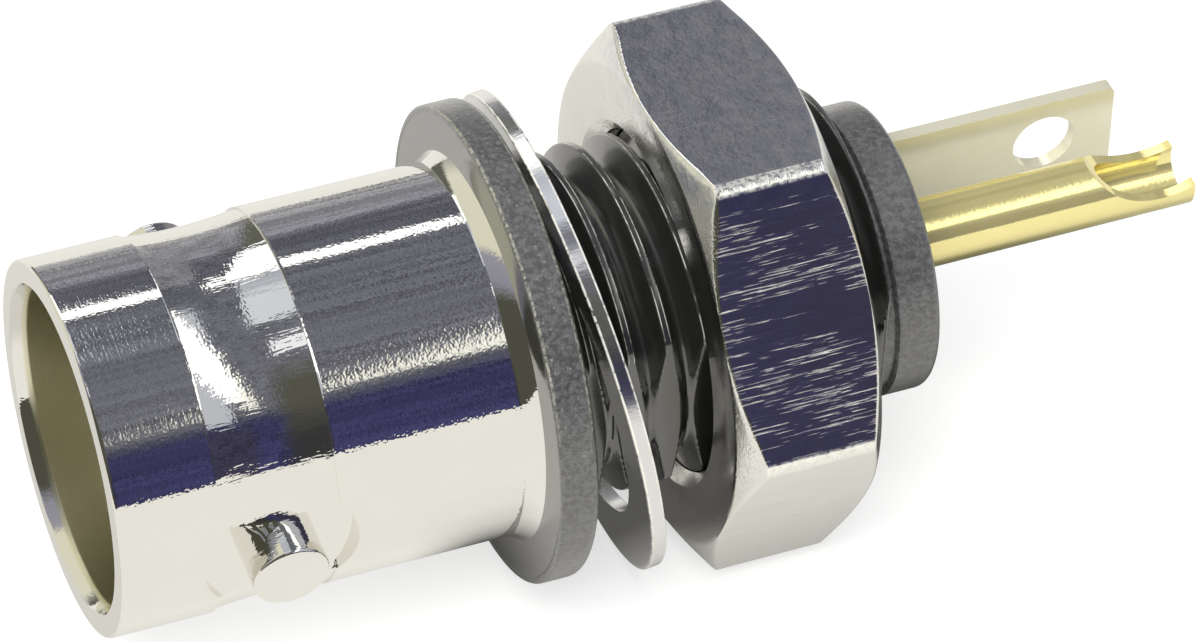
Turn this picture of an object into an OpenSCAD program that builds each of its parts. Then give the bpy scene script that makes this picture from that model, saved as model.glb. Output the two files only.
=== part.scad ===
// Insulated panel-mount bayonet coaxial jack with solder terminals.
// X runs along the axis, from the mating end (-X) to the terminals (+X). The origin is on the axis,
// in the plane where the flange meets the panel. Z is up, square to the flat that the nut lies on.
// All sizes are in millimetres.

/* [Barrel] */
// Outside diameter of the mating barrel
barrel_d = 9.6; // [9:0.1:11]
// Length of the barrel in front of the flange
barrel_l = 10.85; // [10:0.05:14]
// Bore that the plug enters
bore_d = 8.12; // [7.6:0.02:8.4]
// Depth of that bore from the rim
bore_depth = 8.4; // [7.5:0.1:9.4]
// Diameter of the lead-in bevel at the rim
lead_d = 8.4; // [8.42:0.02:8.8]
// Depth of the lead-in bevel
lead_l = 0.4; // [0.1:0.05:0.8]
// Bevel on the rim's outer edge
rim_bevel = 0.08; // [0.02:0.01:0.3]
// Rounding of the barrel's rear edge, at the flange
tail_round = 0.32; // [0.1:0.02:0.6]

/* [Milled neck] */
// Distance from the rim to the milled neck
neck_start = 2.6; // [1.5:0.1:3]
// Length of the milled neck
neck_l = 3.0; // [2.6:0.1:3.6]
// Step down at each end of the neck
neck_step = 0.05; // [0.02:0.01:0.1]
// Further sag of the neck at its middle
neck_sag = 0.1; // [0.02:0.01:0.2]

/* [Bayonet lugs] */
// Diameter of a bayonet lug
lug_d = 1.95; // [1.7:0.05:2.2]
// Distance from the rim to the lugs' centre line
lug_x = 4.12; // [3.8:0.02:4.6]
// Size across the two lugs
lugs_over = 11; // [10.4:0.1:11.8]
// Edge bevel on a lug's end
lug_bevel = 0.08; // [0.02:0.01:0.2]
// Diameter of the round flat milled about each lug
spot_d = 3.95; // [3.2:0.05:4.4]
// Depth of that flat under the barrel's surface
spot_depth = 0.28; // [0.2:0.02:0.4]
// Turn of the barrel about its axis, lugs down from level
lug_turn = 10.8; // [-30:0.1:30]

/* [Shank] */
// Diameter of the barrel's shank inside the insulating sleeve
shank_d = 6.4; // [6:0.1:6.6]
// Thickness of the web between the plug bore and the shank bore
web_t = 1.0; // [0.6:0.1:1.4]
// Bore of the shank behind the web
shank_bore_d = 5.2; // [5:0.05:5.4]

/* [Insulating sleeve] */
// Diameter of the flange
flange_d = 12.32; // [11.4:0.02:14]
// Thickness of the flange
flange_t = 1.02; // [0.8:0.02:1.6]
// Bevel on the flange's front edge
flange_bevel = 0.1; // [0.04:0.02:0.3]
// Rounding of the flange's rear edge
flange_round = 0.24; // [0.1:0.02:0.4]
// Outside diameter of the thread
thread_d = 8.84; // [8.6:0.02:9.2]
// Travel of the nut for one turn
thread_pitch = 1.0; // [0.75:0.05:1.25]
// Length of the thread
thread_l = 8.5; // [7:0.1:11]
// Distance of the flat on the thread from the axis
flat_off = 3.72; // [3.6:0.02:4.2]
// Turn of that flat about the axis, from straight towards -Y
flat_turn = 7.3; // [-20:0.1:20]
// Diameter of the relief groove behind the thread
relief_d = 7.1; // [6.9:0.05:7.4]
// Width of the relief groove
relief_l = 0.36; // [0.2:0.02:0.8]
// Diameter of the collar at the rear
collar_d = 7.48; // [7.4:0.02:8.2]
// Length of the collar
collar_l = 1.17; // [0.8:0.01:2]
// Rounding of the collar's rear edge
collar_round = 0.22; // [0.08:0.02:0.4]
// Thickness of the closed rear wall that the terminals pass through
wall_t = 1.5; // [1:0.05:2.4]

/* [Nut] */
// Size across the flats of the nut
nut_af = 12.5; // [11.6:0.1:14]
// Thickness of the nut
nut_t = 3.88; // [2.6:0.02:4.6]
// Gap between the flange and the nut at rest
nut_gap = 3.48; // [2.6:0.02:4.4]
// Angle of the chamfers on the nut's corners
nut_chamfer = 30; // [15:1:40]
// Depth of the countersink at each end of the nut's bore
nut_sink = 0.3; // [0.1:0.05:0.6]

/* [Washer] */
// Diameter of the washer
washer_d = 13.2; // [12:0.1:14.4]
// Thickness of the washer
washer_t = 0.42; // [0.3:0.02:0.6]
// Play of the washer's bore over the thread, across
washer_play = 0.56; // [0.52:0.02:1.2]
// Lean of the loose washer, its lower edge away from the flange
washer_lean = 7.4; // [0:0.1:8]
// How far the washer hangs below the axis
washer_drop = 0.15; // [0:0.01:0.16]

/* [Centre contact] */
// Diameter of the contact's tail and solder cup
cup_d = 1.8; // [1.6:0.05:2.2]
// Length of the tail behind the sleeve
cup_l = 8.2; // [6:0.1:10]
// Bore of the solder cup
cup_bore_d = 1.25; // [1:0.05:1.4]
// Depth of the solder cup's bore
cup_bore_l = 4.3; // [3.2:0.1:5.4]
// Radius of the side cut that opens the cup
scoop_r = 2.3; // [1.8:0.1:3]
// Distance from the cup's end to the deepest point of the side cut
scoop_back = 0.9; // [0.4:0.1:1.4]
// Height of that deepest point above the axis
scoop_rise = 0.05; // [-0.1:0.01:0.2]
// Outside diameter of the slotted socket
socket_d = 2.1; // [2:0.05:2.3]
// Bore of the socket
socket_bore_d = 1.36; // [1.3:0.02:1.4]
// Depth of the socket's bore
socket_bore_l = 5.2; // [4:0.1:6.5]
// Length of the slots in the socket
slot_l = 4.2; // [3:0.1:5.2]
// Width of the slots in the socket
slot_w = 0.2; // [0.12:0.02:0.26]
// Distance from the rim to the socket's mouth
socket_x = 3.5; // [3.3:0.05:4.2]
// Diameter of the shoulder held between the insulators
shoulder_d = 3.0; // [2.6:0.1:3.6]
// Thickness of that shoulder
shoulder_t = 0.8; // [0.5:0.1:1.2]
// Distance from the rim to the shoulder
shoulder_x = 12.0; // [11.5:0.1:14]

/* [Insulators] */
// Diameter of the insulator's nose, which the plug's sleeve passes over
nose_d = 4.76; // [4.6:0.02:4.8]
// Distance from the rim to the end of the nose
nose_x = 3.35; // [3.1:0.05:4]

/* [Ground terminal] */
// Width of the terminal strip
strip_w = 2.7; // [2:0.05:3.2]
// Thickness of the terminal's sheet
strip_t = 0.35; // [0.25:0.01:0.5]
// Distance of the strip's middle plane from the axis
strip_off = 2.25; // [2.1:0.05:2.5]
// Length of the strip behind the sleeve
strip_l = 7.15; // [5.5:0.05:9]
// Diameter of the wire hole in the strip
strip_hole_d = 1.7; // [1:0.05:2]
// Distance from the strip's end to the hole's centre
strip_hole_back = 1.9; // [1.4:0.05:2.6]
// Rounding of the strip's corners
strip_round = 0.2; // [0.1:0.05:0.5]
// Inside diameter of the ring at the strip's root
ring_bore_d = 3.8; // [3:0.1:3.8]
// Turn of the terminals about the axis
terminal_turn = 5; // [-20:1:20]

/* [Fits] */
// Radial gap of the pieces that are pushed together
fit_gap = 0.02; // [0.01:0.01:0.04]
// Radial gap of the nut on the thread
thread_gap = 0.03; // [0.02:0.01:0.08]
// Gap between the leaning washer and the flange
washer_gap = 0.03; // [0.02:0.01:0.1]

/* [Hidden] */
$fn = 96;
eps = 0.01;
arc_steps = 6;
neck_steps = 10;

nickel = [0.78, 0.77, 0.74];
black_plastic = [0.09, 0.09, 0.1];
ptfe = [0.93, 0.93, 0.9];
gold = [0.86, 0.7, 0.36];
steel = [0.74, 0.75, 0.76];

// Places along the axis
flange_front = -flange_t;
rim = flange_front - barrel_l;
bore_floor = rim + bore_depth;
shoulder_seat = rim + shoulder_x;
insulator_joint = shoulder_seat + shoulder_t;
sleeve_end = thread_l + relief_l + collar_l;
wall_front = sleeve_end - wall_t;
ring_front = wall_front - strip_t;
cup_end = sleeve_end + cup_l;
strip_end = sleeve_end + strip_l;

// Radius of the barrel's outside along the neck, 0 at its start and 1 at its end
function neck_r(t) = barrel_d / 2 - neck_step - neck_sag * 4 * t * (1 - t);

// Points [radius, place] of a quarter round from angle a to angle b about a centre
function arc(cr, cx, r, a, b) =
    [for (i = [0:arc_steps]) let (q = a + (b - a) * i / arc_steps) [cr + r * cos(q), cx + r * sin(q)]];

// Turns a profile of [radius, place] points about the X axis
module turned() {
    rotate([0, 90, 0]) rotate_extrude() children();
}

// A plain round bar along X
module bar(d, x0, x1) {
    translate([x0, 0, 0]) rotate([0, 90, 0]) cylinder(d = d, h = x1 - x0);
}

// Places its children about the barrel's lugs: one on each side, pointing out along +Z
module at_lugs() {
    for (side = [0, 180])
        rotate([90 + lug_turn + side, 0, 0]) translate([rim + lug_x, 0, 0]) children();
}

module barrel_body() {
    turned() polygon(concat(
        [[bore_d / 2, rim + lead_l], [lead_d / 2, rim],
         [barrel_d / 2 - rim_bevel, rim], [barrel_d / 2, rim + rim_bevel],
         [barrel_d / 2, rim + neck_start]],
        [for (i = [0:neck_steps]) [neck_r(i / neck_steps), rim + neck_start + neck_l * i / neck_steps]],
        [[barrel_d / 2, rim + neck_start + neck_l]],
        arc(barrel_d / 2 - tail_round, flange_front - tail_round, tail_round, 0, 90),
        [[shank_d / 2, flange_front], [shank_d / 2, ring_front], [shank_bore_d / 2, ring_front],
         [shank_bore_d / 2, bore_floor + web_t], [nose_d / 2 + fit_gap, bore_floor + web_t],
         [nose_d / 2 + fit_gap, bore_floor], [bore_d / 2, bore_floor]]));
}

module lug() {
    root = bore_d / 2 + (barrel_d - bore_d) / 8;
    rotate_extrude() polygon([[0, root], [lug_d / 2, root], [lug_d / 2, lugs_over / 2 - lug_bevel],
                              [lug_d / 2 - lug_bevel, lugs_over / 2], [0, lugs_over / 2]]);
}

module barrel() {
    color(nickel) union() {
        difference() {
            barrel_body();
            at_lugs() translate([0, 0, barrel_d / 2 - spot_depth]) cylinder(d = spot_d, h = barrel_d);
        }
        at_lugs() lug();
    }
}

module sleeve_body() {
    turned() polygon(concat(
        [[shank_d / 2 + fit_gap, flange_front], [flange_d / 2 - flange_bevel, flange_front],
         [flange_d / 2, flange_front + flange_bevel]],
        arc(flange_d / 2 - flange_round, -flange_round, flange_round, 0, 90),
        [[thread_d / 2, 0], [thread_d / 2, thread_l], [relief_d / 2, thread_l],
         [relief_d / 2, thread_l + relief_l], [collar_d / 2, thread_l + relief_l]],
        arc(collar_d / 2 - collar_round, sleeve_end - collar_round, collar_round, 0, 90),
        [[cup_d / 2 + fit_gap, sleeve_end], [cup_d / 2 + fit_gap, wall_front],
         [shank_d / 2 + fit_gap, wall_front]]));
}

// The flat along the thread, on the side that faces away from the strip
module thread_flat() {
    rotate([flat_turn, 0, 0])
        translate([0, -flat_off - thread_d, -thread_d]) cube([thread_l, thread_d, 2 * thread_d]);
}

// The slot in the rear wall that the strip passes through
module strip_slot() {
    rotate([terminal_turn, 0, 0])
        translate([wall_front - eps, strip_off - strip_t / 2 - fit_gap, -strip_w / 2 - fit_gap])
            cube([wall_t + 2 * eps, strip_t + 2 * fit_gap, strip_w + 2 * fit_gap]);
}

module insulating_sleeve() {
    color(black_plastic) difference() {
        sleeve_body();
        thread_flat();
        strip_slot();
    }
}

module front_insulator() {
    seat = bore_floor + web_t;
    color(ptfe) turned() polygon([
        [socket_d / 2 + fit_gap, rim + nose_x], [nose_d / 2, rim + nose_x], [nose_d / 2, seat],
        [shank_bore_d / 2 - fit_gap, seat], [shank_bore_d / 2 - fit_gap, insulator_joint],
        [shoulder_d / 2 + fit_gap, insulator_joint], [shoulder_d / 2 + fit_gap, shoulder_seat],
        [socket_d / 2 + fit_gap, shoulder_seat]]);
}

module rear_insulator() {
    color(ptfe) turned() polygon([
        [cup_d / 2 + fit_gap, insulator_joint], [shank_bore_d / 2 - fit_gap, insulator_joint],
        [shank_bore_d / 2 - fit_gap, ring_front], [cup_d / 2 + fit_gap, ring_front]]);
}

module contact_body() {
    turned() polygon([
        [0, rim + socket_x], [socket_d / 2, rim + socket_x], [socket_d / 2, shoulder_seat],
        [shoulder_d / 2, shoulder_seat], [shoulder_d / 2, insulator_joint],
        [cup_d / 2, insulator_joint], [cup_d / 2, cup_end], [0, cup_end]]);
}

// The side cut that opens the solder cup upward
module scoop() {
    translate([cup_end - scoop_back, 0, scoop_rise + scoop_r])
        rotate([90, 0, 0]) cylinder(r = scoop_r, h = 2 * cup_d, center = true);
}

module centre_contact() {
    color(gold) rotate([terminal_turn, 0, 0]) difference() {
        contact_body();
        bar(socket_bore_d, rim + socket_x - eps, rim + socket_x + socket_bore_l);
        for (turn = [45, 135]) rotate([turn, 0, 0])
            translate([rim + socket_x - eps, -slot_w / 2, -socket_d])
                cube([slot_l + eps, slot_w, 2 * socket_d]);
        bar(cup_bore_d, cup_end - cup_bore_l, cup_end + eps);
        scoop();
    }
}

// The strip as a flat plate with two rounded corners at its free end
module strip() {
    x0 = ring_front;
    hole_x = strip_end - strip_hole_back;
    translate([0, strip_off + strip_t / 2, 0]) rotate([90, 0, 0]) linear_extrude(strip_t) difference() {
        union() {
            translate([x0, -strip_w / 2]) square([strip_end - strip_round - x0, strip_w]);
            translate([x0, -strip_w / 2 + strip_round])
                square([strip_end - x0, strip_w - 2 * strip_round]);
            for (side = [-1, 1])
                translate([strip_end - strip_round, side * (strip_w / 2 - strip_round)])
                    circle(r = strip_round, $fn = 32);
        }
        translate([hole_x, 0]) circle(d = strip_hole_d);
    }
}

module ground_terminal() {
    color(gold) rotate([terminal_turn, 0, 0]) union() {
        difference() {
            bar(shank_d, ring_front, wall_front);
            bar(ring_bore_d, ring_front - eps, wall_front + eps);
        }
        strip();
    }
}

module washer() {
    rest_x = washer_gap + tan(washer_lean) * flange_d / 2;
    color(steel) translate([rest_x, 0, -washer_drop]) rotate([0, -washer_lean, 0]) difference() {
        bar(washer_d, 0, washer_t);
        bar(thread_d + washer_play, -eps, washer_t + eps);
    }
}

// The shape that the nut's corners are turned down to
module nut_envelope() {
    corner_r = nut_af / 2 / cos(30) + eps;
    drop = (corner_r - nut_af / 2) * tan(nut_chamfer);
    turned() polygon([[0, 0], [nut_af / 2, 0], [corner_r, drop], [corner_r, nut_t - drop],
                      [nut_af / 2, nut_t], [0, nut_t]]);
}

module nut_bore() {
    r = thread_d / 2 + thread_gap;
    turned() polygon([[0, -eps], [r + nut_sink + eps, -eps], [r, nut_sink], [r, nut_t - nut_sink],
                      [r + nut_sink + eps, nut_t + eps], [0, nut_t + eps]]);
}

module nut() {
    color(nickel) translate([nut_gap, 0, 0]) difference() {
        intersection() {
            rotate([30, 0, 0]) rotate([0, 90, 0]) cylinder(d = nut_af / cos(30), h = nut_t, $fn = 6);
            nut_envelope();
        }
        nut_bore();
    }
}

barrel();
insulating_sleeve();
front_insulator();
rear_insulator();
centre_contact();
ground_terminal();
washer();
nut();
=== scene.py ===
import math

import bmesh
import bpy
from mathutils import Matrix, Vector


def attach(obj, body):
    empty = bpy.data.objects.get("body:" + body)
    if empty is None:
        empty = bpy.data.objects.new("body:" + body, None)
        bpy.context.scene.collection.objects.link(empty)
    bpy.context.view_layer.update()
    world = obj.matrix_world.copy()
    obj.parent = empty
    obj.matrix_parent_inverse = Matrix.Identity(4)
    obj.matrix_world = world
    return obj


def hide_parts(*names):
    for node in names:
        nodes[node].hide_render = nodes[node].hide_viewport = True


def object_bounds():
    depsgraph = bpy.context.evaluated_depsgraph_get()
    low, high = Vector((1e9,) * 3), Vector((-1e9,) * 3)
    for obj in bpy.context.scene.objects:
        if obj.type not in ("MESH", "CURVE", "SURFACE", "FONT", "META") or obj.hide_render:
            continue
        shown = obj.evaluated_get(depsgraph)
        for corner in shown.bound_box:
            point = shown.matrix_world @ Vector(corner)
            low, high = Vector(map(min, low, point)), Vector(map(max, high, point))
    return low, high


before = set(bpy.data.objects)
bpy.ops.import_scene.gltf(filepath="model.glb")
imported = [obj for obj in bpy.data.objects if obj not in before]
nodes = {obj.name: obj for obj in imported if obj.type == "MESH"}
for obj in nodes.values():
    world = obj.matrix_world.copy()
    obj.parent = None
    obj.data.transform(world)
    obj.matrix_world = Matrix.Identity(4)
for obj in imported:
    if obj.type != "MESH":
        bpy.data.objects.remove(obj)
CAD_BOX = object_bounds()
MM = 0.001

# ---------------------------------------------------------------- camera
# Solved from the photograph: the camera's axes in the part's frame, and the part's origin seen from it in mm
RIGHT = Vector((0.93525, -0.35389, -0.00835))
DOWN = Vector((-0.23512, -0.60338, -0.76199))
FORWARD = Vector((0.26462, 0.71462, -0.64752))
ORIGIN_IN_CAMERA = Vector((-2.1424, 0.3714, 182.9610)) * MM
LENS, SENSOR = 219.5, 36.0


def add_camera():
    rot = Matrix((RIGHT, -DOWN, -FORWARD)).transposed()
    at = -(RIGHT * ORIGIN_IN_CAMERA.x + DOWN * ORIGIN_IN_CAMERA.y + FORWARD * ORIGIN_IN_CAMERA.z)
    data = bpy.data.cameras.new("camera")
    data.lens, data.sensor_width = LENS, SENSOR
    data.clip_start, data.clip_end = 0.01, 10.0
    cam = bpy.data.objects.new("camera", data)
    cam.matrix_world = Matrix.Translation(at) @ rot.to_4x4()
    bpy.context.scene.collection.objects.link(cam)
    bpy.context.scene.camera = cam


# ---------------------------------------------------------------- node helpers
class Net:
    """Short calls for building a node tree. Colours are (r, g, b)."""

    def __init__(self, tree):
        self.tree = tree
        tree.nodes.clear()

    def add(self, kind, **props):
        n = self.tree.nodes.new(kind)
        for k, v in props.items():
            setattr(n, k, v)
        return n

    def put(self, socket, value):
        if isinstance(value, bpy.types.NodeSocket):
            self.tree.links.new(value, socket)
        elif socket.type == "RGBA":
            socket.default_value = (*value, 1)
        else:
            socket.default_value = value

    def math(self, op, a, b=0.0):
        n = self.add("ShaderNodeMath", operation=op)
        self.put(n.inputs[0], a)
        self.put(n.inputs[1], b)
        return n.outputs[0]

    def mul(self, *terms):
        out = terms[0]
        for t in terms[1:]:
            out = self.math("MULTIPLY", out, t)
        return out

    def plus(self, *terms):
        out = terms[0]
        for t in terms[1:]:
            out = self.math("ADD", out, t)
        return out

    def minus(self, a, b):
        return self.math("SUBTRACT", a, b)

    def smooth(self, v, low, high):
        """0 where v is at low, 1 where it is at high, which may be the smaller one."""
        n = self.add("ShaderNodeMapRange", interpolation_type="SMOOTHSTEP", clamp=True)
        for socket, q in zip(n.inputs, (v, low, high, 0.0, 1.0)):
            self.put(socket, q)
        return n.outputs[0]

    def band(self, v, start, full, last, end):
        """Rises from start to full, falls from last to end."""
        return self.mul(self.smooth(v, start, full), self.smooth(v, end, last))

    def ramp(self, fac, stops):
        n = self.add("ShaderNodeValToRGB")
        e = n.color_ramp.elements
        while len(e) < len(stops):
            e.new(0.5)
        for el, (p, c) in zip(e, stops):
            el.position = p
            el.color = (c, c, c, 1) if isinstance(c, (int, float)) else (*c, 1)
        self.put(n.inputs[0], fac)
        return n.outputs[0]

    def mix(self, fac, a, b, blend="MIX"):
        n = self.add("ShaderNodeMix", data_type="RGBA", blend_type=blend)
        for k, value in ((0, fac), (6, a), (7, b)):
            self.put(n.inputs[k], value)
        return n.outputs[2]

    def between(self, fac, a, b):
        """A number from a to b."""
        n = self.add("ShaderNodeMix", data_type="FLOAT")
        for k, value in ((0, fac), (2, a), (3, b)):
            self.put(n.inputs[k], value)
        return n.outputs[0]

    def noise(self, vec, scale, detail=4.0, rough=0.55, stretch=None):
        """Fractal noise. stretch scales the axes first: a small value draws the pattern out along that axis."""
        n = self.add("ShaderNodeTexNoise")
        self.put(n.inputs["Vector"], self.place(vec, stretch) if stretch else vec)
        self.put(n.inputs["Scale"], scale)
        self.put(n.inputs["Detail"], detail)
        self.put(n.inputs["Roughness"], rough)
        return n.outputs["Fac"]

    def place(self, vec, scale):
        n = self.add("ShaderNodeMapping")
        self.put(n.inputs["Vector"], vec)
        n.inputs["Scale"].default_value = scale
        return n.outputs[0]

    def bump(self, height, distance):
        n = self.add("ShaderNodeBump")
        n.inputs["Strength"].default_value = 1.0
        n.inputs["Distance"].default_value = distance
        self.put(n.inputs["Height"], height)
        return n.outputs[0]

    def split(self, vec):
        n = self.add("ShaderNodeSeparateXYZ")
        self.put(n.inputs[0], vec)
        return n.outputs[0], n.outputs[1], n.outputs[2]

    def part_coords(self):
        """Object coordinates in millimetres: the vector, and x, y, z."""
        mm = self.place(self.add("ShaderNodeTexCoord").outputs["Object"], (1000, 1000, 1000))
        return mm, *self.split(mm)

    def radius_of(self, y, z):
        return self.math("SQRT", self.plus(self.mul(y, y), self.mul(z, z)))


def material(name):
    m = bpy.data.materials.new(name)
    m.use_nodes = True
    net = Net(m.node_tree)
    out = net.add("ShaderNodeOutputMaterial")
    bsdf = net.add("ShaderNodeBsdfPrincipled")
    net.put(out.inputs[0], bsdf.outputs[0])
    return m, net, bsdf


def dress(obj, mat):
    obj.data.materials.clear()
    obj.data.materials.append(mat)
    for p in obj.data.polygons:
        p.material_index = 0


# ---------------------------------------------------------------- surroundings
# What lies round the part's axis, as (degrees / 180, colour): 0 level in front, 0.5 overhead, 1 level behind
ROUND_THE_AXIS = [
    (0.000, (0.052, 0.050, 0.135)), (0.160, (0.046, 0.044, 0.118)), (0.200, (0.125, 0.128, 0.155)),
    (0.300, (0.160, 0.163, 0.195)), (0.620, (0.150, 0.155, 0.185)), (0.770, (0.105, 0.105, 0.135)),
    (0.815, (0.140, 0.140, 0.165)), (0.830, (0.245, 0.245, 0.285)), (0.930, (0.290, 0.290, 0.320)),
    (1.000, (0.420, 0.415, 0.420))]
# The same far to the left: olive wall, pale higher up
FAR_LEFT = [
    (0.00, (0.080, 0.080, 0.062)), (0.36, (0.085, 0.085, 0.065)), (0.43, (0.300, 0.300, 0.360)),
    (0.53, (0.340, 0.340, 0.390)), (0.57, (0.780, 0.760, 0.600)), (0.90, (0.800, 0.790, 0.650)),
    (1.00, (0.420, 0.420, 0.380))]
LEVEL_BEHIND = 180.0


def studio(net):
    """The room that polished metal mirrors, by direction: lam is degrees towards +X, turn is degrees round
    the part's axis, 0 level in front (-Y), 90 overhead, 180 level behind."""
    co = net.add("ShaderNodeTexCoord").outputs["Generated"]
    x, y, z = net.split(co)
    degrees = 180.0 / math.pi
    lam = net.mul(net.math("ARCSINE", x), degrees)
    turn = net.mul(net.math("ARCTAN2", z, net.mul(y, -1.0)), degrees)
    colour = net.ramp(net.math("DIVIDE", turn, LEVEL_BEHIND), ROUND_THE_AXIS)
    # beside the nut: paler high at the back, darker low in front
    near = net.smooth(lam, 15.2, 16.2)
    colour = net.mix(net.mul(near, net.band(turn, 128.0, 131.0, 148.0, 152.0)), colour, (0.235, 0.238, 0.265))
    colour = net.mix(net.mul(near, net.smooth(turn, 30.0, 27.0)), colour, (0.050, 0.047, 0.085))
    # uneven: polished metal looks mottled in it
    patch = net.smooth(net.noise(co, 24.0, 4.0, 0.7), 0.38, 0.62)
    colour = net.mix(0.8, colour, net.ramp(patch, [(0.0, 0.50), (1.0, 1.55)]), "MULTIPLY")
    # to the left: a dim olive corner low down, nearly black at its foot, and another one high up
    low_left = net.mul(net.smooth(lam, 11.0, 5.0), net.smooth(turn, 66.0, 46.0))
    colour = net.mix(low_left, colour,
                     net.mix(net.smooth(turn, 12.0, 40.0), (0.042, 0.042, 0.044), (0.100, 0.100, 0.078)))
    high_left = net.mul(net.smooth(lam, 8.5, 6.0), net.smooth(turn, 143.0, 149.0))
    colour = net.mix(high_left, colour, (0.130, 0.132, 0.108))
    # to the left: a pale panel overhead, darker at its back, and a bright streak in front of it
    panel = net.mul(net.smooth(lam, 10.4, 9.4), net.band(turn, 86.5, 89.0, 117.0, 121.0))
    colour = net.mix(panel, colour,
                     net.mix(net.smooth(turn, 106.0, 113.0), (0.72, 0.75, 0.80), (0.50, 0.52, 0.58)))
    streak = net.mul(net.smooth(lam, 7.0, 6.0), net.band(turn, 66.5, 68.0, 73.5, 76.0))
    colour = net.mix(streak, colour, (1.0, 1.0, 1.05))
    # a lamp behind the panel, which widens to the left
    wide = net.math("MINIMUM", net.math("MAXIMUM", net.mul(net.minus(11.0, lam), 4.5), 0.0), 16.0)
    past = net.minus(turn, net.plus(wide, 127.0))
    lamp = net.mul(net.smooth(lam, 15.6, 14.6), net.smooth(turn, 119.0, 121.0), net.smooth(past, 1.0, -1.0))
    colour = net.mix(lamp, colour, (1.5, 1.5, 1.5))
    # to the right: a wall, and in front of it a window with a slanting side and a curved sill
    wall = net.mul(net.smooth(lam, 19.0, 21.0), net.band(turn, 30.0, 34.0, 108.0, 112.0))
    colour = net.mix(wall, colour, (0.56, 0.58, 0.64))
    up = net.minus(turn, 38.0)
    slant = net.plus(net.mul(up, 0.22), net.mul(up, up, -0.00085))
    side = net.minus(net.minus(lam, 12.2), slant)
    across = net.minus(lam, 13.0)
    above = net.minus(turn, net.plus(net.mul(across, across, 0.17), 38.0))
    window = net.mul(net.smooth(side, -0.8, 1.6), net.smooth(above, -1.5, 2.0), net.smooth(turn, 116.0, 108.0))
    bright = net.mix(net.smooth(lam, 17.2, 17.8), (1.10, 1.09, 1.00), (1.9, 1.88, 1.80))
    colour = net.mix(window, colour, bright)
    far = net.ramp(net.math("DIVIDE", turn, LEVEL_BEHIND), FAR_LEFT)
    return net.mix(net.smooth(lam, -5.0, -10.0), colour, far)


def add_world():
    """White for the camera, the studio for glossy rays, a plain dim sky for all others."""
    world = bpy.data.worlds.new("studio")
    bpy.context.scene.world = world
    world.use_nodes = True
    net = Net(world.node_tree)
    out = net.add("ShaderNodeOutputWorld")
    path = net.add("ShaderNodeLightPath")

    def background(colour, strength):
        n = net.add("ShaderNodeBackground")
        net.put(n.inputs[0], colour)
        n.inputs[1].default_value = strength
        return n.outputs[0]

    def pick(ray, no, yes):
        n = net.add("ShaderNodeMixShader")
        for k, value in enumerate((path.outputs[ray], no, yes)):
            net.put(n.inputs[k], value)
        return n.outputs[0]

    plain = background((0.95, 0.97, 1.0), 0.45)
    unseen = pick("Is Glossy Ray", plain, background(studio(net), 1.0))
    net.put(out.inputs[0], pick("Is Camera Ray", unseen, background((1, 1, 1), 1.0)))


FLOOR_SIZE, FLOOR_GAP = 6.0, 0.00002
# How bright the table is that metal mirrors, with a painted shadow under the part, by (y + 10 mm) / 40 mm: under the
# thick end and under the thin end
SHADOW_UNDER_THICK = [(0.00, 1.0), (0.08, 0.96), (0.135, 0.78), (0.165, 0.54), (0.20, 0.24), (0.225, 0.11),
               (0.35, 0.11), (0.45, 0.80), (1.0, 1.0)]
SHADOW_UNDER_THIN = [(0.00, 1.0), (0.17, 1.0), (0.25, 0.78), (0.45, 0.78), (1.0, 1.0)]


def add_floor():
    bpy.ops.mesh.primitive_plane_add(size=FLOOR_SIZE, location=(0, 0, CAD_BOX[0][2] - FLOOR_GAP))
    floor = bpy.context.object
    floor.name = "floor"
    m, net, bsdf = material("floor_white")
    net.put(bsdf.inputs["Base Color"], (0.55, 0.55, 0.54))
    bsdf.inputs["Roughness"].default_value = 0.9
    bsdf.inputs["Specular IOR Level"].default_value = 0.0
    out = bsdf.outputs[0].links[0].to_node
    path = net.add("ShaderNodeLightPath")
    # the camera sees it white, with the part's soft shadow
    lit = net.add("ShaderNodeEmission")
    net.put(lit.inputs[0], (1, 1, 1))
    net.put(lit.inputs[1], net.mul(path.outputs["Is Camera Ray"], 0.62))
    seen = net.add("ShaderNodeAddShader")
    net.put(seen.inputs[0], bsdf.outputs[0])
    net.put(seen.inputs[1], lit.outputs[0])
    # polished metal sees a warm white table, with a painted shadow under the part, deepest under its thick end
    _, x, y, _ = net.part_coords()
    place = net.math("DIVIDE", net.plus(y, 10.0), 40.0)
    shade = net.mix(net.band(x, -3.5, -1.0, 14.0, 24.0), net.ramp(place, SHADOW_UNDER_THIN), net.ramp(place, SHADOW_UNDER_THICK))
    table = net.add("ShaderNodeEmission")
    net.put(table.inputs[0], net.mix(1.0, shade, (0.93, 0.91, 0.855), "MULTIPLY"))
    pick = net.add("ShaderNodeMixShader")
    net.put(pick.inputs[0], path.outputs["Is Glossy Ray"])
    net.put(pick.inputs[1], seen.outputs[0])
    net.put(pick.inputs[2], table.outputs[0])
    net.put(out.inputs[0], pick.outputs[0])
    dress(floor, m)


def add_lamp(name, place, size, power):
    """A square lamp aimed at the origin, which no mirror and no camera sees."""
    data = bpy.data.lights.new(name, "AREA")
    data.shape = "RECTANGLE"
    data.size = data.size_y = size
    data.energy = power
    lamp = bpy.data.objects.new(name, data)
    lamp.location = place
    lamp.rotation_euler = (-Vector(place)).to_track_quat("-Z", "Y").to_euler()
    lamp.visible_glossy = False
    lamp.visible_camera = False
    bpy.context.scene.collection.objects.link(lamp)


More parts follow.
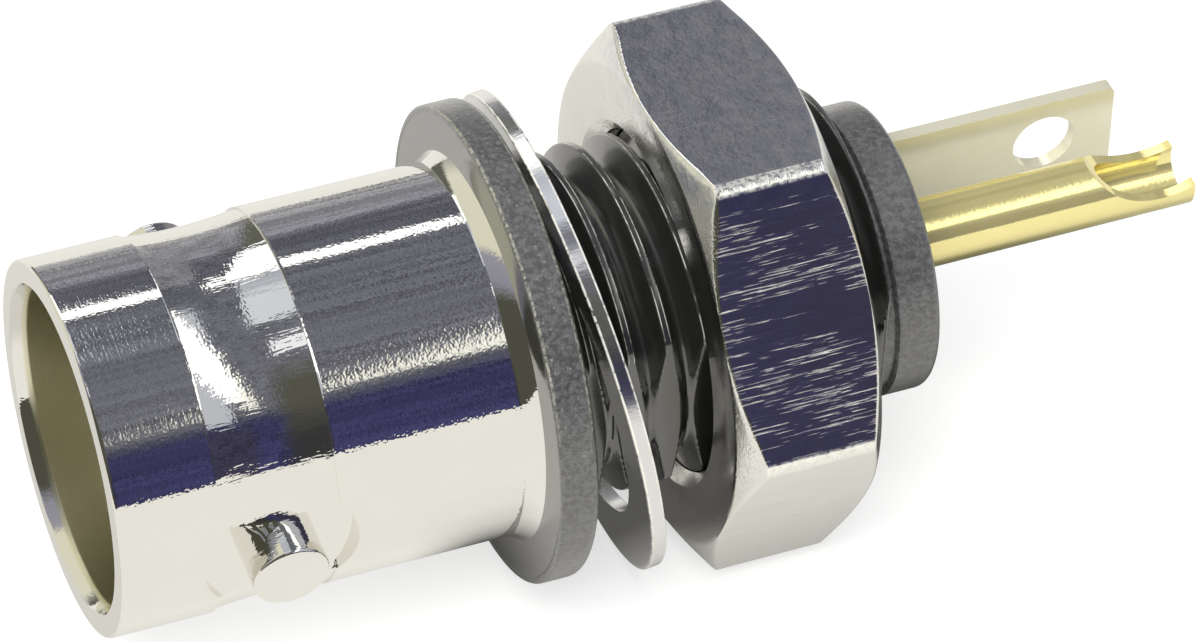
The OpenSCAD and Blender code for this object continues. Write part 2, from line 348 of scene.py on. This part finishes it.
# ---------------------------------------------------------------- sizes, in mm, that materials and pieces share
BARREL_R, BORE_R, RIM_X, FLANGE_X = 4.8, 4.06, -11.87, -1.02
NECK_FROM, NECK_LENGTH, NECK_STEP, NECK_SAG = -9.27, 3.0, 0.05, 0.1
CREST, ROOT, PITCH = 4.42, 3.712, 1.0
CREST_X, CREST_TURN = 0.52, math.radians(112.8)
THREAD_FROM, THREAD_TO = 0.30, 8.5
WASHER_X, WASHER_Z, WASHER_LEAN = 1.07, -0.22, math.radians(8.6)
WASHER_T, WASHER_R, WASHER_BORE = 0.38, 6.36, 4.80


# ---------------------------------------------------------------- materials
def nickel(name, tint=(0.87, 0.86, 0.82)):
    """Polished metal in a slightly uneven tint; also gives that tint's socket."""
    m, net, bsdf = material(name)
    coords = net.part_coords()
    bsdf.inputs["Metallic"].default_value = 1.0
    tone = net.mix(net.noise(coords[0], 0.9, 5.0, 0.6), tint, tuple(v * 0.94 for v in tint))
    net.put(bsdf.inputs["Base Color"], tone)
    return m, net, bsdf, coords, tone


def finish(net, bsdf, height, relief, rough):
    """The surface's fine relief, in metres for a height of 1, and its roughness."""
    net.put(bsdf.inputs["Normal"], net.bump(height, relief))
    net.put(bsdf.inputs["Roughness"], rough)


def barrel_nickel():
    m, net, bsdf, (mm, x, y, z), tone = nickel("barrel_nickel")
    # the bore is dull and yellowish
    inside = net.mul(net.smooth(net.radius_of(y, z), BORE_R + 0.06, BORE_R + 0.02),
                     net.smooth(x, RIM_X + 0.07, RIM_X + 0.17))
    net.put(bsdf.inputs["Base Color"], net.mix(inside, tone, (0.80, 0.77, 0.58)))
    grain = net.noise(mm, 8.0, 1.5, 0.6)
    fine = net.noise(mm, 15.0, 0.0)
    # turning marks: fine rings, a little deeper ahead of the neck
    rings = net.noise(mm, 12.0, 3.0, 0.7, (1, 0.02, 0.02))
    front = net.smooth(x, -9.1, -9.4)
    # marks along the axis in the milled neck
    neck = net.band(x, -9.3, -9.2, -6.3, -6.2)
    along = net.noise(mm, 3.4, 3.0, 0.62, (0.12, 1, 1))
    height = net.plus(net.mul(grain, 1.25), net.mul(fine, 0.8),
                      net.mul(rings, net.plus(net.mul(front, 0.8), 0.2)), net.mul(along, neck, 7.0))
    polish = net.between(net.noise(mm, 2.3, 4.0), 0.015, 0.04)
    finish(net, bsdf, height, 1.4e-6, net.between(inside, polish, 0.34))
    return m


def nut_nickel():
    m, net, bsdf, (mm, x, y, z), tone = nickel("nut_nickel")
    grain = net.noise(mm, 7.5, 4.0, 0.7)
    fine = net.noise(mm, 20.0, 3.0, 0.7)
    # the top flat is clouded and hazed
    top = net.smooth(z, 5.3, 5.9)
    cloud = net.noise(mm, 1.1, 4.0, 0.62)
    haze = net.smooth(net.noise(mm, 1.9, 5.0, 0.7), 0.36, 0.66)
    tone = net.mix(net.mul(haze, top, 0.75), tone, (0.64, 0.66, 0.70))
    # the six corners carry a painted pale highlight, broken up by the grain
    corner_highlight = net.mul(net.smooth(net.radius_of(y, z), 7.085, 7.125), net.smooth(grain, 0.34, 0.60), 0.7)
    net.put(bsdf.inputs["Base Color"], net.mix(corner_highlight, tone, (0.97, 0.95, 0.86)))
    net.put(bsdf.inputs["Metallic"], net.between(corner_highlight, 1.0, 0.35))
    # the sides carry long fine scratches along the axis, deeper in patches
    lines = net.math("POWER", net.noise(mm, 27.0, 2.0, 0.5, (0.028, 1, 1)), 7.0)
    wear_and_highlight_patches = net.smooth(net.noise(mm, 0.9, 3.0, 0.6, (0.3, 1, 1)), 0.38, 0.62)
    height = net.plus(net.mul(grain, net.plus(net.mul(top, 1.6), 0.8)), net.mul(fine, 0.45),
                      net.mul(cloud, net.plus(net.mul(top, 9.0), 1.0)),
                      net.mul(lines, net.plus(net.mul(wear_and_highlight_patches, 30.0), 6.0), net.minus(1.0, net.mul(top, 0.8))))
    finish(net, bsdf, height, 1.6e-6, net.between(net.noise(mm, 2.0, 4.0), 0.03, 0.07))
    return m


def washer_steel():
    m, net, bsdf, (mm, x, y, z), tone = nickel("washer_steel", (0.84, 0.84, 0.84))
    # painted pale highlight along both corners of its edge; deep is how far in from the leaning front face
    up = net.minus(z, WASHER_Z)
    deep = net.plus(net.mul(net.minus(x, WASHER_X), round(math.cos(WASHER_LEAN), 3)),
                    net.mul(up, round(math.sin(WASHER_LEAN), 3)))
    from_middle = net.math("ABSOLUTE", net.minus(deep, WASHER_T / 2))
    edge_highlight = net.mul(net.smooth(from_middle, 0.125, 0.145),
                   net.smooth(net.radius_of(y, up), WASHER_R - 0.16, WASHER_R - 0.08),
                   net.smooth(net.noise(mm, 3.0, 4.0, 0.7), 0.36, 0.50))
    net.put(bsdf.inputs["Base Color"], net.mix(edge_highlight, tone, (0.96, 0.94, 0.85)))
    net.put(bsdf.inputs["Metallic"], net.between(edge_highlight, 1.0, 0.4))
    grain = net.noise(mm, 6.0, 4.0, 0.65)
    cross = net.noise(mm, 5.0, 3.0, 0.6, (0.15, 1, 1))
    height = net.plus(net.mul(grain, 1.4), net.mul(cross, 3.0))
    finish(net, bsdf, height, 1.6e-6, net.between(net.noise(mm, 1.6, 4.0), 0.10, 0.24))
    return m


def thread_crest_edges(net, x, y, z):
    """1 along both edges of the thread's crests."""
    turns = net.math("DIVIDE", net.minus(net.math("ARCTAN2", z, y), CREST_TURN), 2 * math.pi)
    along = net.minus(net.math("DIVIDE", net.minus(x, CREST_X), PITCH), turns)
    off = net.math("ABSOLUTE", net.minus(net.math("FRACT", net.plus(along, 0.5)), 0.5))
    return net.smooth(net.math("ABSOLUTE", net.minus(off, 0.068)), 0.016, 0.008)


def black(name):
    """The sleeve's plastic: grained satin on the flange's rim and the collar, glossier elsewhere."""
    m, net, bsdf = material(name)
    mm, x, y, z = net.part_coords()
    away = net.radius_of(y, z)
    flange = net.mul(net.smooth(x, 0.05, -0.02), net.smooth(away, 5.95, 6.02))
    collar = net.smooth(x, 8.42, 8.48)
    rim = net.math("MAXIMUM", flange, collar)
    face = net.smooth(x, -0.99, -1.01)
    leather = net.noise(mm, 7.0, 3.0, 0.6)
    soft = net.noise(mm, 2.5, 4.0, 0.6)
    # satin: mottled, with a painted highlight on the upper corners and pale flecks, and painted shade on the
    # flange's underside
    grain = net.smooth(net.noise(mm, 6.5, 4.0, 0.65), 0.40, 0.62)
    satin = net.mix(soft, (0.028, 0.028, 0.028), (0.062, 0.061, 0.065))
    satin = net.mix(net.mul(grain, 0.75), satin, (0.125, 0.125, 0.122))
    corners = net.math("MAXIMUM", net.band(x, -1.01, -0.985, -0.95, -0.925), net.band(x, -0.16, -0.12, -0.07, -0.03))
    rim_corner_highlight = net.mul(corners, net.smooth(net.noise(mm, 9.0, 4.0, 0.7), 0.40, 0.62), net.smooth(z, 0.5, 3.5), 0.7)
    satin = net.mix(rim_corner_highlight, satin, (0.52, 0.50, 0.38))
    fleck = net.smooth(net.noise(mm, 7.0, 5.0, 0.75), 0.56, 0.72)
    satin = net.mix(net.mul(fleck, net.plus(net.mul(flange, 0.45), 0.25)), satin, (0.40, 0.39, 0.33))
    # painted shade: the flange's underside darkened towards the bottom
    satin = net.mix(net.mul(flange, net.smooth(z, -3.0, -5.5)), satin, (0.012, 0.012, 0.012))
    # elsewhere: black, with a painted highlight along the edges of the thread's crests, in patches, fading towards
    # the bottom
    gloss = net.mix(soft, (0.012, 0.012, 0.010), (0.024, 0.024, 0.021))
    wear_and_highlight_patches = net.smooth(net.noise(mm, 1.3, 4.0, 0.65, (0.6, 1, 1)), 0.40, 0.60)
    crest_highlight = net.mul(thread_crest_edges(net, x, y, z), wear_and_highlight_patches, net.smooth(away, CREST - 0.12, CREST - 0.06),
                   net.band(x, THREAD_FROM, THREAD_FROM + 0.2, THREAD_TO - 0.2, THREAD_TO),
                   net.smooth(z, -4.2, -1.0))
    gloss = net.mix(crest_highlight, gloss, (0.55, 0.54, 0.48))
    net.put(bsdf.inputs["Base Color"], net.mix(rim, gloss, satin))
    polish = net.between(face, net.between(soft, 0.10, 0.20), 0.12)
    height = net.plus(net.mul(leather, net.plus(net.mul(rim, 4.5), 0.06)), net.mul(soft, 0.15))
    finish(net, bsdf, height, 1.6e-5, net.between(rim, polish, 0.30))
    bsdf.inputs["IOR"].default_value = 1.9
    bsdf.inputs["Coat Weight"].default_value = 0.9
    bsdf.inputs["Coat Roughness"].default_value = 0.25
    return m


def gold(name, tint, rough, metal):
    m, net, bsdf = material(name)
    mm = net.part_coords()[0]
    bsdf.inputs["Metallic"].default_value = metal
    uneven = net.noise(mm, 1.4, 5.0, 0.6)
    dark = tuple(v * share for v, share in zip(tint, (0.93, 0.90, 0.82)))
    net.put(bsdf.inputs["Base Color"], net.mix(uneven, tint, dark))
    height = net.plus(net.noise(mm, 9.0, 3.0, 0.6), net.mul(net.noise(mm, 7.0, 3.0, 0.6, (0.08, 1, 1)), 0.8))
    finish(net, bsdf, height, 1.4e-6, net.between(uneven, rough, rough + 0.07))
    return m


def white_plastic(name):
    m, net, bsdf = material(name)
    mm = net.part_coords()[0]
    soft = net.noise(mm, 1.2, 4.0, 0.6)
    net.put(bsdf.inputs["Base Color"], net.mix(soft, (0.82, 0.82, 0.79), (0.76, 0.76, 0.73)))
    rings = net.noise(mm, 8.0, 3.0, 0.6, (1, 0.05, 0.05))
    finish(net, bsdf, rings, 3e-6, net.between(soft, 0.34, 0.46))
    return m


# ---------------------------------------------------------------- mesh helpers
def new_object(name, mesh, body):
    obj = bpy.data.objects.new(name, mesh)
    bpy.context.scene.collection.objects.link(obj)
    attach(obj, body)
    return obj


def even(steps):
    return [2 * math.pi * k / steps for k in range(steps)]


def add_vertex(bm, x, r, a):
    return bm.verts.new((x * MM, r * math.cos(a) * MM, r * math.sin(a) * MM))


def add_rings(bm, rows, angles, radius=None):
    """One ring of vertices round X for each (x, r) in mm; radius(x, r, a) may change r."""
    return [[add_vertex(bm, x, radius(x, r, a) if radius else r, a) for a in angles] for x, r in rows]


def skin(bm, a, b):
    for k in range(len(a)):
        j = (k + 1) % len(a)
        bm.faces.new((a[k], b[k], b[j], a[j]))


def shade(mesh, sharp):
    for f in mesh.polygons:
        f.use_smooth = True
    mesh.set_sharp_from_angle(angle=math.radians(sharp))


def to_mesh(bm, name, sharp):
    bmesh.ops.recalc_face_normals(bm, faces=bm.faces)
    mesh = bpy.data.meshes.new(name)
    bm.to_mesh(mesh)
    bm.free()
    shade(mesh, sharp)
    return mesh


def lathe(name, rows, angles, radius=None, sharp=35.0):
    """Closed surface of revolution about X. rows are (x, r) in mm, in order round the section."""
    bm = bmesh.new()
    rings = add_rings(bm, rows, angles, radius)
    for i in range(len(rings)):
        skin(bm, rings[i], rings[(i + 1) % len(rings)])
    bmesh.ops.remove_doubles(bm, verts=bm.verts, dist=1e-9)
    bmesh.ops.delete(bm, geom=[e for e in bm.edges if not e.link_faces], context="EDGES")
    return to_mesh(bm, name, sharp)


def arc(cx, cr, r, a, b, n=6):
    """Points (x, r) of an arc; angle 0 points outward from the axis, 90 along +X. Rows stand close beside
    each arc in the pieces below, so that smooth shading stays flat on the flat faces."""
    turns = [math.radians(a + (b - a) * i / n) for i in range(n + 1)]
    return [(cx + r * math.sin(q), cr + r * math.cos(q)) for q in turns]


def carve(mesh, tools):
    """The mesh after each (how, tool mesh) boolean in turn."""
    for how, tool in tools:
        pair = [bpy.data.objects.new("tool", m) for m in (mesh, tool)]
        for o in pair:
            bpy.context.scene.collection.objects.link(o)
        cut = pair[0].modifiers.new("cut", "BOOLEAN")
        cut.operation, cut.solver, cut.object = how, "EXACT", pair[1]
        deps = bpy.context.evaluated_depsgraph_get()
        mesh = bpy.data.meshes.new_from_object(pair[0].evaluated_get(deps))
        for o in pair:
            bpy.data.objects.remove(o)
    return mesh


def soft_min(a, b, k):
    """The smaller of a and b, rounded where they are within k of each other."""
    h = max(k - abs(a - b), 0.0) / k
    return min(a, b) - h * h * k / 4


# ---------------------------------------------------------------- barrel: one turning, flared against the flange
# The bore's mouth, as (depth behind the rim, radius)
MOUTH = ((0.44, BORE_R), (0.4, BORE_R), (0.36, 4.074), (0.06, 4.179), (0.03, 4.19), (0.008, 4.205),
         (0.0, 4.235), (0.0, 4.26))
RIM_ROUND, NECK_ROWS = 0.08, 24
BESIDE_NECK = (-9.85, -5.65)
FLARE_LENGTH, FLARE_FROM, FLARE_TO, FLARE_ROWS = 0.45, 14.0, 36.0, 10
SHANK_R, SHANK_BORE_R, SHANK_END = 3.2, 2.6, 8.18
WEB_FRONT, WEB_REAR, WEB_BORE_R = -3.47, -2.47, 2.4
LUG_X, LUG_TURN, LUG_R, LUG_TIP, LUG_ROUND = -7.75, math.radians(10.8), 0.975, 5.5, 0.08
LUG_FOOT = 4.245
SPOT_R, SPOT_FLOOR, SPOT_CUT_TO = 1.975, 4.52, 7.0


def barrel_rows():
    rows = [(RIM_X + depth, r) for depth, r in MOUTH]
    rows.append((RIM_X, BARREL_R - RIM_ROUND - 0.03))
    rows += arc(RIM_X + RIM_ROUND, BARREL_R - RIM_ROUND, RIM_ROUND, -90, 0, 5)
    rows += [(RIM_X + RIM_ROUND + 0.03, BARREL_R), (BESIDE_NECK[0], BARREL_R), (NECK_FROM, BARREL_R)]
    for i in range(NECK_ROWS + 1):
        t = i / NECK_ROWS
        rows.append((NECK_FROM + NECK_LENGTH * t, BARREL_R - NECK_STEP - NECK_SAG * 4 * t * (1 - t)))
    flare_x = FLANGE_X - FLARE_LENGTH
    rows += [(NECK_FROM + NECK_LENGTH, BARREL_R), (BESIDE_NECK[1], BARREL_R), (flare_x - 0.015, BARREL_R)]
    r, step = BARREL_R, FLARE_LENGTH / FLARE_ROWS
    for i in range(FLARE_ROWS + 1):
        rows.append((flare_x + step * i, r))
        slope = FLARE_FROM + (FLARE_TO - FLARE_FROM) * (i + 0.5) / FLARE_ROWS
        r += step * math.tan(math.radians(slope))
    rows += [(FLANGE_X, SHANK_R), (SHANK_END, SHANK_R), (SHANK_END, SHANK_BORE_R), (WEB_REAR, SHANK_BORE_R),
             (WEB_REAR, WEB_BORE_R), (WEB_FRONT, WEB_BORE_R), (WEB_FRONT, BORE_R)]
    return rows


def lug_tool(rows, side):
    """A turned shape along X, stood at the lug's place on one side of the barrel."""
    mesh = lathe("tool", rows, even(96))
    turn = Matrix.Rotation(math.pi / 2 + LUG_TURN + side, 4, "X") @ Matrix.Rotation(-math.pi / 2, 4, "Y")
    mesh.transform(Matrix.Translation((LUG_X * MM, 0, 0)) @ turn)
    return mesh


def add_barrel():
    spot = [(SPOT_FLOOR, 0.0), (SPOT_FLOOR, SPOT_R), (SPOT_CUT_TO, SPOT_R), (SPOT_CUT_TO, 0.0)]
    lug = [(LUG_FOOT, 0.0), (LUG_FOOT, LUG_R), (LUG_TIP - LUG_ROUND - 0.03, LUG_R)]
    lug += arc(LUG_TIP - LUG_ROUND, LUG_R - LUG_ROUND, LUG_ROUND, 0, 90, 4)
    lug += [(LUG_TIP, LUG_R - LUG_ROUND - 0.035), (LUG_TIP, 0.0)]
    tools = []
    for side in (0.0, math.pi):
        tools += [("DIFFERENCE", lug_tool(spot, side)), ("UNION", lug_tool(lug, side))]
    mesh = carve(lathe("barrel_turned", barrel_rows(), even(384)), tools)
    mesh.name = "barrel_turned"
    shade(mesh, 33.0)
    obj = new_object("barrel_turned", mesh, "housing")
    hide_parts("barrel")
    dress(obj, barrel_nickel())


# ---------------------------------------------------------------- sleeve: flange, thread cut away by a flat, collar
CREST_FLAT, CREST_ROUND, SHOULDER, FLANK = 0.055, 0.055, 0.045, 0.40
RUN_IN, RUN_OUT = 0.5, 0.12
FLAT, FLAT_TURN, FLAT_REACH, FLAT_BLEND = 3.72, math.radians(-172.7), 1.2, 0.13
# Distances from the middle of a crest, as shares of the pitch, at which the thread has rows
ROWS_OFF_CREST = (0.0, 0.055, 0.067, 0.079, 0.090, 0.100, 0.12, 0.145, 0.17, 0.20, 0.235, 0.275, 0.32, 0.37,
                  0.43, 0.5)
TURNS = range(-3, 11)
FLANGE_R, FLANGE_FRONT_ROUND, FLANGE_REAR_ROUND = 6.16, 0.1, 0.24
SLEEVE_BORE_R, SLEEVE_BORE_END, CONTACT_HOLE_R = 3.22, 8.53, 0.92
# The relief between thread and collar, and the collar's front edge, as (x, r)
RELIEF = [(8.5, 3.62), (8.53, 3.56), (8.83, 3.56), (8.86, 3.62), (8.86, 3.66), (8.90, 3.74), (8.94, 3.74)]
COLLAR_R, COLLAR_END, COLLAR_ROUND = 3.74, 10.03, 0.22


def thread_radius(x, off):
    """Radius at place x, off mm from the middle of a crest."""
    past = abs(off) - CREST_FLAT
    if past <= 0.0:
        drop = 0.0
    elif past <= SHOULDER:
        drop = CREST_ROUND - math.sqrt(CREST_ROUND ** 2 - past ** 2)
    else:
        bend = CREST_ROUND - math.sqrt(CREST_ROUND ** 2 - SHOULDER ** 2)
        down = min(1.0, (past - SHOULDER) / FLANK)
        drop = bend + (CREST - ROOT - bend) * math.sin(0.5 * math.pi * down)
    fade = min(1.0, max(0.0, (x - THREAD_FROM) / RUN_IN)) * min(1.0, max(0.0, (THREAD_TO - x) / RUN_OUT))
    return CREST - drop * fade


def cut_flat(x, r, a):
    """Radius r with the flat taken off, behind the flange only."""
    off = abs((a - FLAT_TURN + math.pi) % (2 * math.pi) - math.pi)
    if x > -0.001 and r <= CREST and off < FLAT_REACH:
        return soft_min(r, FLAT / math.cos(off), FLAT_BLEND)
    return r


def sleeve_angles():
    """Fine steps across the flat, coarser ones elsewhere."""
    half, fine, coarse = math.radians(36.0), 180, 120
    out = [FLAT_TURN - half + 2 * half * k / fine for k in range(fine)]
    return out + [FLAT_TURN + half + (2 * math.pi - 2 * half) * k / coarse for k in range(coarse)]


def add_thread(bm, angles, first, last):
    """Faces between the rings first and last, in rows that follow the helix."""
    offs = [-v for v in ROWS_OFF_CREST[:0:-1]] + list(ROWS_OFF_CREST[:-1])
    columns = []
    for k, a in enumerate(angles):
        column = []
        for turn in TURNS:
            for off in offs:
                x = CREST_X + PITCH * (turn + (a - CREST_TURN) / (2 * math.pi)) + off * PITCH
                if x <= 0.01:
                    column.append(first[k])
                elif x >= THREAD_TO - 0.005:
                    column.append(last[k])
                else:
                    column.append(add_vertex(bm, x, cut_flat(x, thread_radius(x, off), a), a))
        columns.append(column)
    # a column meets the next one row for row; the last meets the first one turn further on
    following = columns[1:] + [columns[0][len(offs):]]
    for a, b in zip(columns, following):
        for i in range(min(len(a), len(b)) - 1):
            loop = []
            for v in (a[i], b[i], b[i + 1], a[i + 1]):
                if v not in loop:
                    loop.append(v)
            if len(loop) > 2:
                bm.faces.new(loop)


def sleeve_rows():
    """The section from the thread's end, round the collar, the bore and the flange, to the thread's start."""
    rows = [(THREAD_TO, CREST)] + RELIEF + [(COLLAR_END - COLLAR_ROUND - 0.04, COLLAR_R)]
    rows += arc(COLLAR_END - COLLAR_ROUND, COLLAR_R - COLLAR_ROUND, COLLAR_ROUND, 0, 90)
    rows += [(COLLAR_END, COLLAR_R - COLLAR_ROUND - 0.06), (COLLAR_END, CONTACT_HOLE_R),
             (SLEEVE_BORE_END, CONTACT_HOLE_R), (SLEEVE_BORE_END, SLEEVE_BORE_R), (FLANGE_X, SLEEVE_BORE_R)]
    front, rear = FLANGE_FRONT_ROUND, FLANGE_REAR_ROUND
    rows.append((FLANGE_X, FLANGE_R - front - 0.04))
    rows += arc(FLANGE_X + front, FLANGE_R - front, front, -90, 0, 5)
    rows += [(FLANGE_X + front + 0.04, FLANGE_R), (-rear - 0.04, FLANGE_R)]
    rows += arc(-rear, FLANGE_R - rear, rear, 0, 90)
    return rows + [(0.0, FLANGE_R - rear - 0.06), (0.0, 4.7), (0.0, CREST)]


def add_sleeve():
    angles = sleeve_angles()
    bm = bmesh.new()
    rings = add_rings(bm, sleeve_rows(), angles, cut_flat)
    for i in range(len(rings) - 1):
        skin(bm, rings[i], rings[i + 1])
    add_thread(bm, angles, rings[-1], rings[0])
    obj = new_object("sleeve_threaded", to_mesh(bm, "sleeve_threaded", 24.0), "housing")
    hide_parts("insulating_sleeve")
    dress(obj, black("sleeve_black"))


# ---------------------------------------------------------------- washer
WASHER_ROUND = 0.045


def add_washer():
    t, soft = WASHER_T, WASHER_ROUND
    near_edge = WASHER_R - soft - 0.04
    rows = [(0, WASHER_BORE + 0.02), (0, near_edge)] + arc(soft, WASHER_R - soft, soft, -90, 0, 4)
    rows += [(soft + 0.02, WASHER_R), (t - soft - 0.02, WASHER_R)]
    rows += arc(t - soft, WASHER_R - soft, soft, 0, 90, 4)
    rows += [(t, near_edge), (t, WASHER_BORE + 0.02), (t - 0.02, WASHER_BORE), (0.02, WASHER_BORE)]
    mesh = lathe("washer_plate", rows, even(288))
    place = Matrix.Translation((WASHER_X * MM, 0, WASHER_Z * MM))
    mesh.transform(place @ Matrix.Rotation(-WASHER_LEAN, 4, "Y"))
    obj = new_object("washer_plate", mesh, "washer")
    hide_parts("washer")
    dress(obj, washer_steel())


# ---------------------------------------------------------------- nut
NUT_X, NUT_T, NUT_HALF, NUT_BORE, NUT_SINK = 3.48, 3.88, 6.25, 4.45, 0.3
NUT_ROUND, NUT_BLEND, NUT_FACE_R, NUT_CONE = 0.42, 0.07, 6.14, math.radians(30.0)
END_ROWS, END_STEP = 21, 0.03
# Degrees to each side of a corner at which the nut has columns
OFF_CORNER = [0.0, 0.3, 0.6, 0.9, 1.2, 1.5, 1.8, 2.1, 2.6] + [4.0 + 2 * k for k in range(14)]
# Stands for the hexagon in the nut's rows
OUTER = 9.0


def nut_radius(x, r, a):
    """Hexagon with rounded corners, turned down to a cone at both ends."""
    if r != OUTER:
        return r
    off = a % (math.pi / 3) - math.pi / 6
    to_corner = math.pi / 6 - abs(off)
    centre = (NUT_HALF - NUT_ROUND) / math.cos(math.pi / 6)
    bend = math.atan2(NUT_ROUND * 0.5, centre + NUT_ROUND * math.cos(math.pi / 6))
    if to_corner < bend:
        hexagon = centre * math.cos(to_corner) + math.sqrt(NUT_ROUND ** 2 - (centre * math.sin(to_corner)) ** 2)
    else:
        hexagon = NUT_HALF / math.cos(off)
    depth = min(x - NUT_X, NUT_X + NUT_T - x)
    return soft_min(hexagon, NUT_HALF + depth / math.tan(NUT_CONE), NUT_BLEND)


def add_nut():
    sunk = NUT_BORE + NUT_SINK
    # depths behind the front face and their radii, from the bore out; the rear half mirrors them
    half = [(NUT_SINK, NUT_BORE), (0.01, sunk), (0.0, sunk + 0.02), (0.0, NUT_FACE_R)]
    half += [(END_STEP * i, OUTER) for i in range(END_ROWS)]
    rows = [(NUT_X + depth, r) for depth, r in half] + [(NUT_X + NUT_T / 2, OUTER)]
    rows += [(NUT_X + NUT_T - depth, r) for depth, r in reversed(half)]
    degrees = sorted({round(60 * c + s * o, 3) % 360 for c in range(6) for o in OFF_CORNER for s in (-1, 1)})
    mesh = lathe("nut_turned", rows, [math.radians(d) for d in degrees], nut_radius, 40.0)
    obj = new_object("nut_turned", mesh, "nut")
    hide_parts("nut")
    dress(obj, nut_nickel())


# ---------------------------------------------------------------- the scene
bpy.context.scene.view_settings.view_transform = "Standard"
add_camera()
add_world()
add_floor()
add_barrel()
add_sleeve()
add_washer()
add_nut()
add_lamp("key", (-0.25, -0.35, 0.6), 0.5, 6.0)

dress(nodes["barrel"], barrel_nickel())
dress(nodes["nut"], nut_nickel())
dress(nodes["washer"], washer_steel())
dress(nodes["insulating_sleeve"], black("sleeve_black_cad"))
dress(nodes["front_insulator"], white_plastic("insulator_white"))
dress(nodes["rear_insulator"], white_plastic("insulator_white_rear"))
dress(nodes["centre_contact"], gold("contact_gold", (1.0, 0.90, 0.43), 0.05, 0.7))
dress(nodes["ground_terminal"], gold("terminal_gold", (0.97, 0.95, 0.77), 0.16, 0.5))
